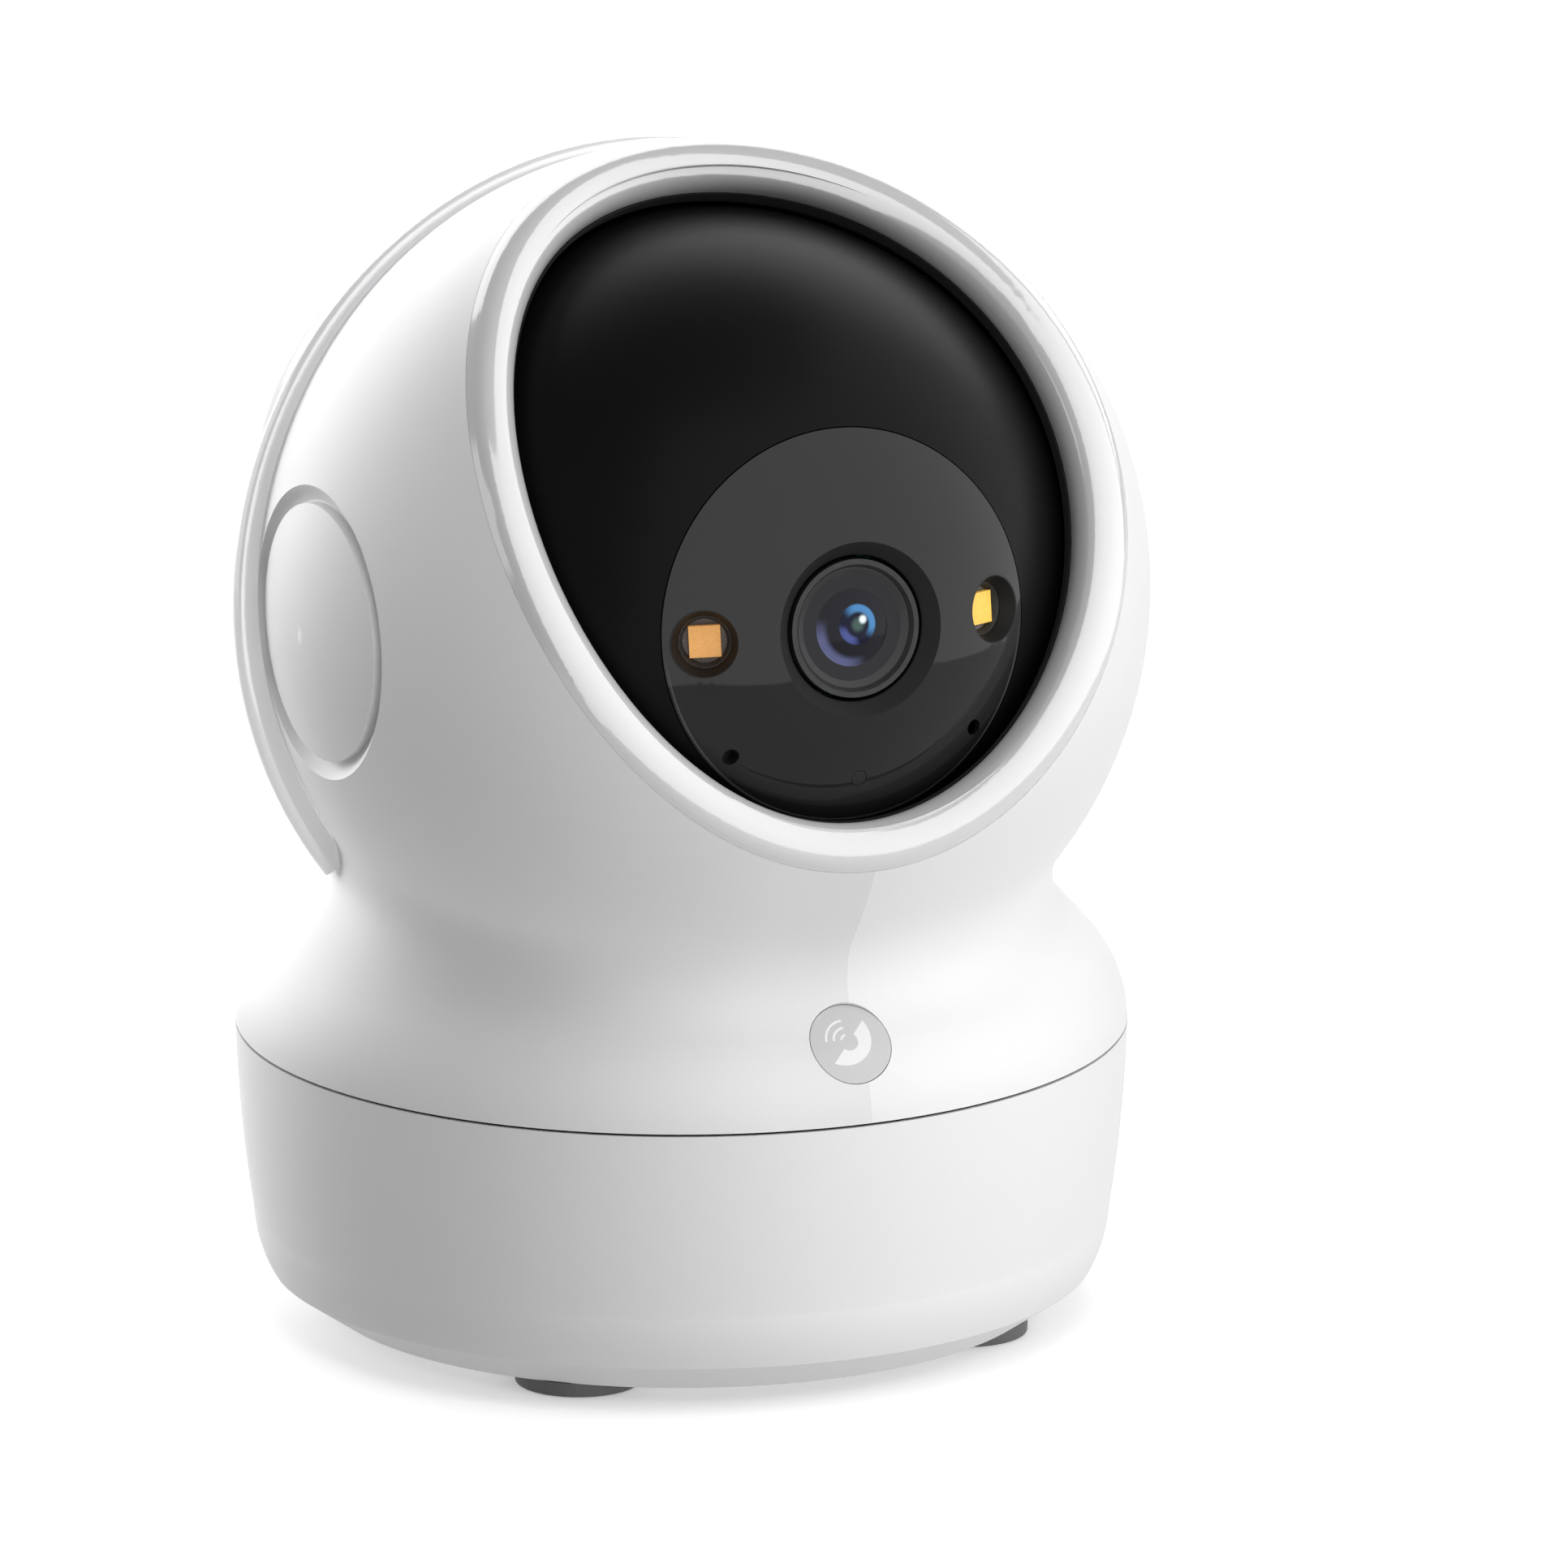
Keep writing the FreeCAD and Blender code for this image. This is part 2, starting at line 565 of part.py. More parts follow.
def rear_cover():
    """Glossy dome over the back of the head, cut by a leaning plane and a cone at the neck."""
    centre = Placement(Vector(0, size("cover_centre_y"), size("cover_centre_z")), Rotation())
    dome = cut("cover_dome", sphere("cover_out", "cover_sphere", centre),
               sphere("cover_in", "cover_sphere - cover_wall", centre),
               sphere("cover_seat", "head_radius + 0.03"))
    edge = Placement(Vector(0, size("cover_edge_y"), size("head_z")),
                     Rotation(Vector(1, 0, 0), -90 - size("cover_edge_slope")))
    behind = box("cover_behind", "120", "120", "60", edge)
    spread = repr(60 / math.tan(math.radians(size("cover_end_angle"))))
    below = cone("cover_below", "0.01", spread, "60",
                 Placement(CENTRE, Rotation(Vector(1, 0, 0), 180)))
    shape = cut("cover_plain", common("cover_back", dome, behind), below)
    doc.recompute()
    ahead = edge.Rotation.multVec(Vector(0, 0, 1))

    def on_rim(p):
        outside = abs((p - centre.Base).Length - size("cover_sphere")) < 0.02
        return outside and abs((p - edge.Base).dot(ahead)) < 0.02

    rounded = doc.addObject("Part::Fillet", "cover_rounded")
    rounded.Base = shape
    radius = size("cover_round")
    rounded.Edges = [(i, radius, radius) for i in edges_near(shape.Shape, on_rim)]
    room = copy_of("cover_room", doc.getObject("pan_form"))
    return piece("rear_cover", cut("rear_cover", rounded, room))


def side_caps():
    dome = "( cap_rise - cap_rim_x )"
    bulge = "( cap_radius * cap_radius + %s ^ 2 ) / ( 2 * %s )" % (dome, dome)
    reach = value("cap_rise") - value(bulge)
    for label, sign in (("side_cap_left", -1), ("side_cap_right", 1)):
        side = sideways(sign)
        disc = cylinder(label + "_disc", "cap_radius", "4", at(side, z=value("dish_x + 0.02")))
        piece(label, common(label, disc, sphere(label + "_dome", bulge, at(side, z=reach))))


def turntable():
    low = value("rim_z + seam_gap")
    plate = cylinder("table_plate", "plate_radius", "plate_thick", at(WORLD, z=low + 0.05))
    hub = cylinder("table_hub", "hub_radius", "rim_z + seam_gap - gear_z - gear_thick + 0.1",
                   at(WORLD, z=value("gear_z + gear_thick")))
    bore = cylinder("table_bore", "hub_radius - 3", "20", at(WORLD, z=20))
    notch = box("table_notch", "13", "12", "6", at(WORLD, 0, -35.5, 27))
    return piece("turntable", cut("turntable", fuse("table_all", plate, hub), bore, notch))


def gap_seal():
    """Black lip behind the ring's inner edge that closes most of the gap to the ball."""
    shell = cut("seal_shell", sphere("seal_out", "ball_clear - fit_gap"), sphere("seal_in", "seal_inner"))
    wide = oval_prism("seal_limit", "ring_hole_height + seal_cover", "ring_hole_width + seal_cover", 50)
    narrow = oval_prism("seal_hole", "ring_hole_height - seal_overhang",
                        "ring_hole_width - seal_overhang", 60, -1)
    return piece("gap_seal", cut("gap_seal", common("seal_band", shell, wide), narrow))


def tilt_side_parts():
    for label, sign in (("tilt_bush_left", -1), ("tilt_bush_right", 1)):
        piece(label, tube(label, "5.0", "axle_radius + bush_gap", "2.6", at(sideways(sign), z=36.2)))
    motor = at(sideways(1), z=30.0)
    can = cylinder("tilt_can", "11.5", "5.6", motor)
    flange = tube("tilt_flange", "13.5", "6", "0.8", at(motor, z=5.5))
    drive = cylinder("tilt_drive_bore", "axle_radius + bush_gap", "12", at(motor, z=-1))
    piece("tilt_motor", cut("tilt_motor", fuse("tilt_motor_all", can, flange), drive))


def call_switch():
    """Tactile switch behind the call button on a small board that stands in the turntable's notch."""
    frame = button_frame()
    back = -1 * size("switch_depth")
    switch = fuse("switch_body", box("switch_case", "5", "5", "1.6", at(frame, z=back + 1.0)),
                  cylinder("switch_stem", "1.5", "1.35", at(frame, z=back + 2.6)))
    board = box("switch_board", "11", "8.5", "1.0", at(frame, 0, 1.25, back))
    return piece("call_switch", fuse("call_switch", switch, board))


def call_button():
    """Disc that follows the skirt, with a flange behind the wall and a foot on the switch."""
    frame = button_frame()
    stem = cylinder("button_stem", "button_radius", "12", at(frame, z=-size("button_depth")))
    skin = common("button_skin", stem, turned("button_form", skirt_points("0", "0")))
    back = -size("button_depth")
    flange = cylinder("button_flange", "button_radius + 0.9", "0.6", at(frame, z=back))
    foot = cylinder("button_foot", "1.6", "0.7", at(frame, z=back - 0.65))
    return piece("call_button", fuse("call_button", skin, flange, foot))


# ---------------------------------------------------------------- tilting ball
def ball_solid(name, radius, flat):
    """Sphere with two flats square to the tilt axis."""
    slab = box(name + "_slab", "2 * ( %s )" % flat, "90", "90", at(HEAD, z=-45))
    return common(name, sphere(name + "_sphere", radius), slab)


POST_X, POST_Y = (-20, 20), 13


def slot_frame(x=0.0, z=0.0):
    """Frame of the card slot and reset button, low in the front of the ball."""
    return at(at(LENS, turn=Rotation(Vector(1, 0, 0), size("slot_angle"))), x, 0, z)


def ball_shells():
    wall = cut("ball_wall", ball_solid("ball_out", "ball_radius", "flat_x"),
               ball_solid("ball_in", "ball_radius - ball_wall", "flat_x - ball_wall"))
    ledge = cut("ledge_shell", ball_solid("ledge_out", "ball_radius + 1", "flat_x"),
                ball_solid("ledge_in", "ball_radius - panel_thick - 0.05", "flat_x"))
    seat = common("panel_seat", ledge, cylinder("seat_bore", "panel_radius + panel_gap", "40", LENS))
    window = cylinder("panel_window", "panel_radius - 1.4", "40", LENS)
    posts = [cylinder("ball_post_%d" % x, "post_radius", "52", at(LENS, x, POST_Y, -26)) for x in POST_X]
    bores = [cylinder("ball_bore_%d" % x, "screw_radius + 0.03", "80", at(LENS, x, POST_Y, -60))
             for x in POST_X]
    wells = [cylinder("ball_well_%d" % x, "screw_head + 0.1", "20", at(LENS, x, POST_Y, -40))
             for x in POST_X]
    axles = [cylinder("axle_bore_%d" % s, "axle_radius + 0.02", "30", at(sideways(s), z=20))
             for s in (-1, 1)]
    slot = box("card_slot", "slot_width", "slot_height", "10", slot_frame(size("slot_x"), 30))
    reset = cylinder("reset_hole", "reset_radius + reset_gap", "10", slot_frame(size("reset_x"), 30))
    stem = common("post_trim", fuse("ball_posts", *posts),
                  ball_solid("post_limit", "ball_radius - 0.5", "flat_x"))
    whole = cut("ball_whole", fuse("ball_walls", wall, stem), seat, window, slot, reset,
                *bores, *wells, *axles)
    for label, sign in (("ball_front", 1), ("ball_rear", -1)):
        half = box(label + "_half", "90", "90", "50", at(LENS, z=0 if sign > 0 else -50))
        piece(label, common(label, copy_of(label + "_source", whole), half))


def ball_screws():
    """Two screws from the back of the ball; the heads sit in wells in the rear half."""
    return piece("ball_screws", group("ball_screws", *[
        screw("ball_screw_%d" % x, at(LENS, x, POST_Y, -21.05), "16") for x in POST_X]))


def behind_mic(side, z):
    return at(LENS, side * size("mic_x"), -size("mic_drop"), z)


def behind_light(z):
    return at(LENS, 0, -size("light_drop"), z)


def lens_panel():
    shell = cut("panel_shell", sphere("panel_out", "ball_radius"),
                sphere("panel_in", "ball_radius - panel_thick"))
    cap = common("panel_cap", shell, cylinder("panel_disc", "panel_radius", "40", LENS))
    collar = common("panel_collar", cylinder("collar_disc", "cone_radius + 1.2", "6", at(LENS, z=31.0)),
                    sphere("collar_limit", "ball_radius - 0.3"))
    floor = size("cone_floor")
    funnel = cone("panel_funnel", "cone_inner", "cone_inner + ( cone_radius - cone_inner ) * 3", "4.0",
                  at(LENS, z=floor))
    bore = cylinder("panel_bore", "cone_inner", "30", at(LENS, z=20))
    lamps = []
    for sign in (-1, 1):
        frame = at(lamp_frame(sign), z=value("ball_radius - lamp_depth"))
        lamps.append(cone("lamp_mouth_%d" % sign, "lamp_floor", "lamp_mouth + 0.55",
                          "lamp_depth * 1.5", frame))
    mics = [cylinder("mic_hole_%d" % s, "mic_radius", "12", behind_mic(s, 28)) for s in (-1, 1)]
    light = cylinder("light_hole", "light_radius + 0.05", "12", behind_light(28))
    whole = fuse("panel_all", cap, collar)
    return piece("lens_panel", cut("lens_panel", whole, funnel, bore, light, *lamps, *mics))


def status_light():
    pin = common("light_pin", cylinder("light_rod", "light_radius", "8", behind_light(29)),
                 sphere("light_limit", "ball_radius - 0.02"))
    foot = cylinder("light_foot", "1.3", "2.8", behind_light(26.25))
    return piece("status_light", fuse("status_light", pin, foot))


def microphones():
    return piece("microphones", group("microphones", *[
        cylinder("mic_can_%d" % s, "2.0", "2.0", behind_mic(s, 26.25)) for s in (-1, 1)]))


def lamps():
    cups, boards = [], []
    for name, sign in (("lamp_left", -1), ("lamp_right", 1)):
        frame = lamp_frame(sign)
        deep = size("ball_radius") - size("lamp_depth")
        ring = cylinder(name + "_cup_out", "2.95", "0.75", at(frame, z=deep - 0.05))
        mouth = cone(name + "_cup_mouth", "lamp_floor", "lamp_mouth + 0.55", "lamp_depth * 1.5",
                     at(frame, z=deep))
        well = cylinder(name + "_cup_well", "lamp_floor", "4", at(frame, z=deep - 2))
        cups.append(cut(name + "_cup", ring, mouth, well))
        boards.append(cylinder(name + "_board", "3.6", "1.0", at(frame, z=deep - 1.1)))
        chip = box(name + "_chip", "lamp_side", "lamp_side", "0.62", at(frame, z=deep - 0.07))
        piece(name, chip)
    piece("lamp_cups", group("lamp_cups", *cups))
    piece("lamp_boards", group("lamp_boards", *boards))


def lens():
    barrel = cylinder("barrel_body", "barrel_radius", "barrel_front - barrel_back",
                      at(LENS, z=size("barrel_back")))
    mouth = cone("barrel_mouth", "rim_inner", "rim_inner + 0.3", "0.45",
                 at(LENS, z=value("barrel_front - 0.45")))
    well = cylinder("barrel_well", "rim_inner", "2.2", at(LENS, z=value("barrel_front - glass_deep")))
    bore = cylinder("barrel_bore", "4.6", "14", at(LENS, z=18))
    piece("lens_barrel", cut("lens_barrel", barrel, mouth, well, bore))
    seat = value("glass_front")
    ring = cut("retaining_blank", cylinder("retaining_disc", "rim_inner - 0.03", "0.35", at(LENS, z=seat)),
               cone("retaining_cone", "glass_radius", "rim_inner - 0.1", "0.36", at(LENS, z=seat)))
    piece("lens_ring", ring)
    disc = cylinder("glass_disc", "rim_inner - 0.03", "glass_front - barrel_front + glass_deep",
                    at(LENS, z=value("barrel_front - glass_deep")))
    dome = common("glass_dome", sphere("glass_ball", "9.0", at(LENS, z=seat - 8.25)),
                  cylinder("glass_limit", "dome_edge", "2", at(LENS, z=seat - 1)))
    piece("front_glass", fuse("front_glass", disc, dome))
    piece("rear_glass", common("rear_glass", cylinder("rear_disc", "4.55", "4", at(LENS, z=24)),
                               sphere("rear_ball", "8", at(LENS, z=20))))
    holder = cut("holder_blank", box("holder_box", "17", "17", "8.0", at(LENS, z=11.95)),
                 box("holder_room", "12", "12", "4.1", at(LENS, z=11.9)),
                 cylinder("holder_bore", "4.6", "12", at(LENS, z=10)))
    piece("lens_holder", holder)
    piece("image_sensor", box("sensor_chip", "7", "6", "1.0", at(LENS, z=11.95)))
    piece("sensor_board", box("sensor_plate", "30", "28", "1.2", at(LENS, z=10.7)))


def front_board():
    disc = cylinder("front_disc", "20.5", "1.2", at(LENS, z=25.0))
    hole = cylinder("front_hole", "barrel_radius + 0.3", "4", at(LENS, z=24))
    lamp_room = [cylinder("front_lamp_room_%d" % s, "4.2", "20", at(lamp_frame(s), z=20))
                 for s in (-1, 1)]
    return piece("front_board", cut("front_board", disc, hole, *lamp_room))


def card_parts():
    """Card reader and card behind the slot in the lower front of the ball."""
    card_x, reset_x = size("slot_x"), size("reset_x")
    case = box("reader_case", "slot_width + 2.4", "3.0", "10.6", slot_frame(card_x, 21.2))
    room = box("reader_room", "slot_width - 0.6", "1.0", "12", slot_frame(card_x, 22.6))
    piece("card_reader", cut("card_reader", case, room))
    piece("memory_card", box("card_blank", "slot_width - 1", "0.8", "11.4", slot_frame(card_x, 22.7)))
    reach = value("ball_radius - 0.25")
    seat = slot_frame(reset_x, reach - 4.6)
    cap = cylinder("reset_cap", "reset_radius", "4.8", seat)
    rounded = common("reset_front", cap, sphere("reset_limit", "ball_radius - 0.15"))
    flange = cylinder("reset_flange", "reset_radius + 0.7", "0.6", seat)
    stem = cylinder("reset_stem", "0.8", "1.6", slot_frame(reset_x, reach - 6.0))
    piece("reset_button", fuse("reset_button", rounded, flange, stem))
    piece("reset_switch", box("reset_case", "4.5", "4.5", "2.0", slot_frame(reset_x, reach - 8.6)))


def axles():
    for label, sign in (("tilt_axle_left", -1), ("tilt_axle_right", 1)):
        rod = cylinder(label + "_rod", "axle_radius", "11.2", at(sideways(sign), z=27.1))
        head = cylinder(label + "_head", "axle_radius + 2", "1.2", at(sideways(sign), z=25.9))
        piece(label, fuse(label, rod, head))


def antenna():
    plate = box("antenna_plate", "20", "9", "0.8",
                Placement(Vector(0, 39.6, 71), Rotation(Vector(1, 0, 0), 90)))
    return piece("wifi_antenna", plate)


# ---------------------------------------------------------------- whole object
for make in (base_shell, bottom_cover, rubber_feet, bottom_screws, mount_insert, main_board,
             board_screws, power_socket, speaker, pan_motor, motor_screws, pan_bush, pan_gears,
             turntable, pan_shells, front_ring, gap_seal, rear_cover, side_caps, tilt_side_parts,
             call_switch, call_button, ball_shells, ball_screws, lens_panel, status_light, microphones, lamps,
             lens, front_board, card_parts, axles, antenna):
    make()
    print("made", make.__name__, flush=True)
doc.recompute()

failed = [o.Label for o in doc.Objects if {"Invalid", "Error"} & set(o.State)]
broken = [o.Label for o in pieces if o.Shape.isNull() or not o.Shape.isValid() or o.Shape.Volume <= 0]
for item in pieces:
    print("%-18s %9.1f mm3 %d solids" % (item.Label, item.Shape.Volume, len(item.Shape.Solids)))
if failed or broken:
    raise SystemExit("failed: %s broken: %s" % (failed, broken))
os.makedirs("parts", exist_ok=True)
for item in pieces:
    item.Shape.exportStep("parts/%s.step" % item.Label)
print(len(pieces), "pieces written")
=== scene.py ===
import json
import math
import bmesh
import bpy
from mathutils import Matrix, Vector


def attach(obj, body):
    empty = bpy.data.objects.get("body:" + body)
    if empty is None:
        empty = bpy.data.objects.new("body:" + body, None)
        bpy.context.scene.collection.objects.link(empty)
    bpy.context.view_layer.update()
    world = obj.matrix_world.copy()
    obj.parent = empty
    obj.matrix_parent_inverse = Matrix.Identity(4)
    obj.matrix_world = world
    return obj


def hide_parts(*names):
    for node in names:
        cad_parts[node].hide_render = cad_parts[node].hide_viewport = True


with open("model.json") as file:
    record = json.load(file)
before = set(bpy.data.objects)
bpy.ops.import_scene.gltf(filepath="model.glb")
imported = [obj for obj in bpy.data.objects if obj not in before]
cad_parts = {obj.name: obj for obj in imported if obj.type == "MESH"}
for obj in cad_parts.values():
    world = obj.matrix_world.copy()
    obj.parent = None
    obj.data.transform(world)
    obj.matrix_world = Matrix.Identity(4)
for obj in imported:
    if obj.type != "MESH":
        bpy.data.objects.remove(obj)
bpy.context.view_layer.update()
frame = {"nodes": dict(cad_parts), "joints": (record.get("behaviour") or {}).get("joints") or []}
nodes = frame["nodes"]
print("frame loaded,", len(nodes), "nodes")

millimetre = 0.001
tiltJoint = [joint for joint in frame["joints"] if joint["name"] == "tilt"][0]
headCentre = Vector(tiltJoint["pos_m"])
lensTilt = 6.85  # degrees that the lens looks up at rest


# shader maths

class Value:
    # a socket, or what comes out of one, that takes part in sums
    def __init__(self, finish, socket):
        self.finish = finish
        self.socket = socket

    def sum(self, operation, other=None, flipped=False):
        inputs = [self] if other is None else [self, other]
        if flipped:
            inputs.reverse()
        return self.finish.add("ShaderNodeMath", {"operation": operation}, dict(enumerate(inputs)))

    def __add__(self, other):
        return self.sum("ADD", other)

    def __radd__(self, other):
        return self.sum("ADD", other, True)

    def __sub__(self, other):
        return self.sum("SUBTRACT", other)

    def __rsub__(self, other):
        return self.sum("SUBTRACT", other, True)

    def __mul__(self, other):
        return self.sum("MULTIPLY", other)

    def __rmul__(self, other):
        return self.sum("MULTIPLY", other, True)

    def __truediv__(self, other):
        return self.sum("DIVIDE", other)

    def __pow__(self, other):
        return self.sum("POWER", other)

    def __abs__(self):
        return self.sum("ABSOLUTE")


# the shader's own names for the short names used here
socketLabels = {"BaseColor": "Base Color", "CoatWeight": "Coat Weight", "CoatRoughness": "Coat Roughness",
                "EmissionColor": "Emission Color", "EmissionStrength": "Emission Strength",
                "Specular": "Specular IOR Level", "Subsurface": "Subsurface Weight",
                "SubsurfaceScale": "Subsurface Scale"}


class Finish:
    # one material: a Principled shader and whatever feeds it
    def __init__(self, name, slotName, **constants):
        self.material = bpy.data.materials.new(name)
        self.material.use_nodes = True
        self.slotName = slotName
        self.tree = self.material.node_tree
        self.shader = self.tree.nodes["Principled BSDF"]
        for socketName, value in constants.items():
            self.set(socketName, value)

    def set(self, socketName, value):
        label = socketLabels.get(socketName, socketName)
        self.connect(self.shader.inputs[label], value)

    def connect(self, socket, value):
        if isinstance(value, Value):
            self.tree.links.new(value.socket, socket)
        elif isinstance(value, tuple) and len(value) == 3 and socket.type == "RGBA":
            socket.default_value = (*value, 1)
        else:
            socket.default_value = value

    def add(self, kind, settings={}, inputs={}, output=0):
        node = self.tree.nodes.new(kind)
        for name, value in settings.items():
            setattr(node, name, value)
        for name, value in inputs.items():
            self.connect(node.inputs[name], value)
        return Value(self, node.outputs[output])

    def place(self):
        return self.add("ShaderNodeTexCoord", output="Object")

    def local(self, origin, lean):
        # millimetres in a frame at the origin that is leant back about X
        return self.axes(self.add("ShaderNodeMapping", {"vector_type": "TEXTURE"}, {
            "Vector": self.place(), "Location": tuple(origin), "Rotation": (math.radians(90 - lean), 0, 0),
            "Scale": (0.001, 0.001, 0.001)}))

    def inside(self, distance, edge, soft=0.03):
        # 1 where the distance is under the edge, 0 beyond it
        return self.add("ShaderNodeMapRange", {"interpolation_type": "SMOOTHSTEP"}, {
            "Value": distance, "From Min": edge - soft, "From Max": edge + soft,
            "To Min": 1.0, "To Max": 0.0})

    def reach(self, x, y, centreX=0.0, centreY=0.0):
        # distance from a centre
        return ((x - centreX) ** 2.0 + (y - centreY) ** 2.0) ** 0.5

    def axes(self, vector=None):
        node = self.add("ShaderNodeSeparateXYZ", inputs={"Vector": vector or self.place()}).socket.node
        return [Value(self, socket) for socket in node.outputs]

    def noise(self, scale, detail=3.0, roughness=0.5, stretch=None):
        vector = self.place()
        if stretch:
            vector = self.add("ShaderNodeMapping", inputs={"Vector": vector, "Scale": stretch})
        return self.add("ShaderNodeTexNoise", inputs={
            "Vector": vector, "Scale": scale, "Detail": detail, "Roughness": roughness})

    def voronoi(self, scale):
        return self.add("ShaderNodeTexVoronoi", {"feature": "F1"},
                        {"Vector": self.place(), "Scale": scale}, "Distance")

    def step(self, value, low, high):
        # 0 below low, 1 above high
        return self.add("ShaderNodeMapRange", {"interpolation_type": "SMOOTHSTEP"},
                        {"Value": value, "From Min": low, "From Max": high})

    def blend(self, factor, first, second):
        return self.add("ShaderNodeMix", {"data_type": "RGBA"}, {0: factor, 6: first, 7: second}, 2)

    def bump(self, height, depth, strength=1.0):
        return self.add("ShaderNodeBump", inputs={"Height": height, "Distance": depth, "Strength": strength})


finishes = {}


def finish(name, slotName, **constants):
    made = Finish(name, slotName, **constants)
    finishes[name] = made
    return made


def dress(finishName, *nodeNames):
    # the CAD nodes keep their shape and take this finish
    for nodeName in nodeNames:
        for materialSlot in nodes[nodeName].material_slots:
            materialSlot.material = finishes[finishName].material


def keep(piece, body, finishName, *replaced):
    # a finished new piece: its finish, the body that it moves with, and the CAD nodes it stands for
    piece.data.materials.clear()
    piece.data.materials.append(finishes[finishName].material)
    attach(piece, body)
    if replaced:
        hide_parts(*replaced)
    return piece


# white mouldings

whites = {"low": (0.845, 0.845, 0.85), "high": (0.872, 0.872, 0.875), "grain": 5200, "grainDepth": 0.000012}
# the side shade is painted shade on the left half at the front; the line shade darkens the joint itself
parting = {"halfWidth": 0.00004, "softness": 0.00003, "fadeFrom": -0.011, "front": -0.02, "frontFade": 0.004,
           "paintedSideShade": 0.55, "lineShade": 0.3, "grey": (0.73, 0.73, 0.735)}


def moulded(made):
    # fine spark-eroded texture, a little uneven in gloss, as the mould leaves it
    cloud = made.noise(38, 4)
    grain = made.noise(whites["grain"], 2, 0.6)
    pits = made.voronoi(whites["grain"] * 0.7)
    made.set("Roughness", 0.5 + 0.08 * cloud + 0.05 * grain)
    made.set("Normal", made.bump(grain + 0.5 * pits, whites["grainDepth"], 0.45))
    return made.blend(cloud, whites["low"], whites["high"])


def matteShell():
    made = finish("matteShell", "white_shell", IOR=1.46)
    made.set("BaseColor", moulded(made))


def pannedShell():
    # the same moulding in two halves with a dark parting line between them; the left half is painted a trace
    # greyer towards the line at the front, as painted shade
    made = finish("pannedShell", "white_shell", IOR=1.46)
    x, y = made.axes()[:2]
    # painted shade: the left half darker near the front of the parting line
    leftPaintedShade = made.inside(x, 0.0, parting["halfWidth"]) * made.step(x, parting["fadeFrom"], 0.0)
    front = made.inside(y, parting["front"], parting["frontFade"])
    line = made.inside(abs(x), parting["halfWidth"], parting["softness"])
    lineAndPaintedShade = parting["paintedSideShade"] * front * leftPaintedShade + parting["lineShade"] * line
    made.set("BaseColor", made.blend(lineAndPaintedShade, moulded(made), parting["grey"]))


def polishedWhite(name="polishedWhite", paintedGlow=0.0):
    # high-gloss lacquer; the second argument is a faint glow of its own, painted light that keeps it light
    # in tone
    made = finish(name, "white_gloss", IOR=2.1, EmissionStrength=paintedGlow)
    swell = made.noise(55, 2)
    smear = made.noise(900, 4, 0.6, stretch=(1, 1, 0.3))
    made.set("BaseColor", made.blend(swell, (0.66, 0.66, 0.67), (0.70, 0.70, 0.705)))
    made.set("EmissionColor", made.blend(swell, (0.97, 0.97, 0.98), (1.0, 1.0, 1.0)))
    made.set("Roughness", 0.09 + 0.05 * smear)
    made.set("Normal", made.bump(swell, 0.00002, 0.2))


callMark = {"origin": (-0.0008, -0.0394, 0.03565), "slope": 33.5, "handset": 2.92, "handsetDrop": 1.04,
            "notch": 0.95, "waves": (0.58, 1.33, 2.08), "waveWidth": 0.11,
            "lean": 0.7071}


def printedGrey():
    # grey disc with a white handset and three sound waves printed on it
    made = finish("printedGrey", "icon_grey", IOR=1.45)
    x, y = made.local(callMark["origin"], callMark["slope"])[:2]
    along, away = (x + y) * callMark["lean"], (x - y) * callMark["lean"]
    handset = made.inside(made.reach(along, away, 0.0, -callMark["handsetDrop"]), callMark["handset"])
    handset = handset * (1.0 - made.inside(away, -0.25))
    handset = handset * (1.0 - made.inside(made.reach(along, away, 0.0, -0.3), callMark["notch"]))
    spread = made.reach(x, y, -0.3, 0.3)
    waves = 0.0
    for radius in callMark["waves"]:
        waves = made.inside(abs(spread - radius), callMark["waveWidth"]) + waves
    waves = waves * made.inside(x, -0.33) * (1.0 - made.inside(y, 0.42))
    speck = made.noise(4200, 3, 0.65)
    grey = made.blend(speck, (0.55, 0.55, 0.55), (0.61, 0.61, 0.61))
    made.set("BaseColor", made.blend(handset + waves, grey, (0.88, 0.88, 0.88)))
    made.set("Roughness", 0.45 + 0.15 * speck)
    made.set("Normal", made.bump(speck, 0.000008, 0.4))


# black mouldings


def satinBlack():
    made = finish("satinBlack", "black_satin", IOR=1.46, Specular=0.05)
    grain = made.noise(5600, 2, 0.6)
    cloud = made.noise(60, 3)
    made.set("BaseColor", made.blend(cloud, (0.0035, 0.0035, 0.004), (0.0055, 0.0055, 0.006)))
    made.set("Roughness", 0.30 + 0.05 * cloud + 0.05 * grain)
    made.set("Normal", made.bump(grain, 0.000008, 0.3))


# millimetres and degrees on the ball; the bevel radius is where a painted highlight line runs
lensPanel = {"ball": 36, "funnel": 8.32, "lampAzimuth": 24.7, "lampMouth": 3.25, "bevel": 18.36,
             "bevelHighlightWidth": 0.07}


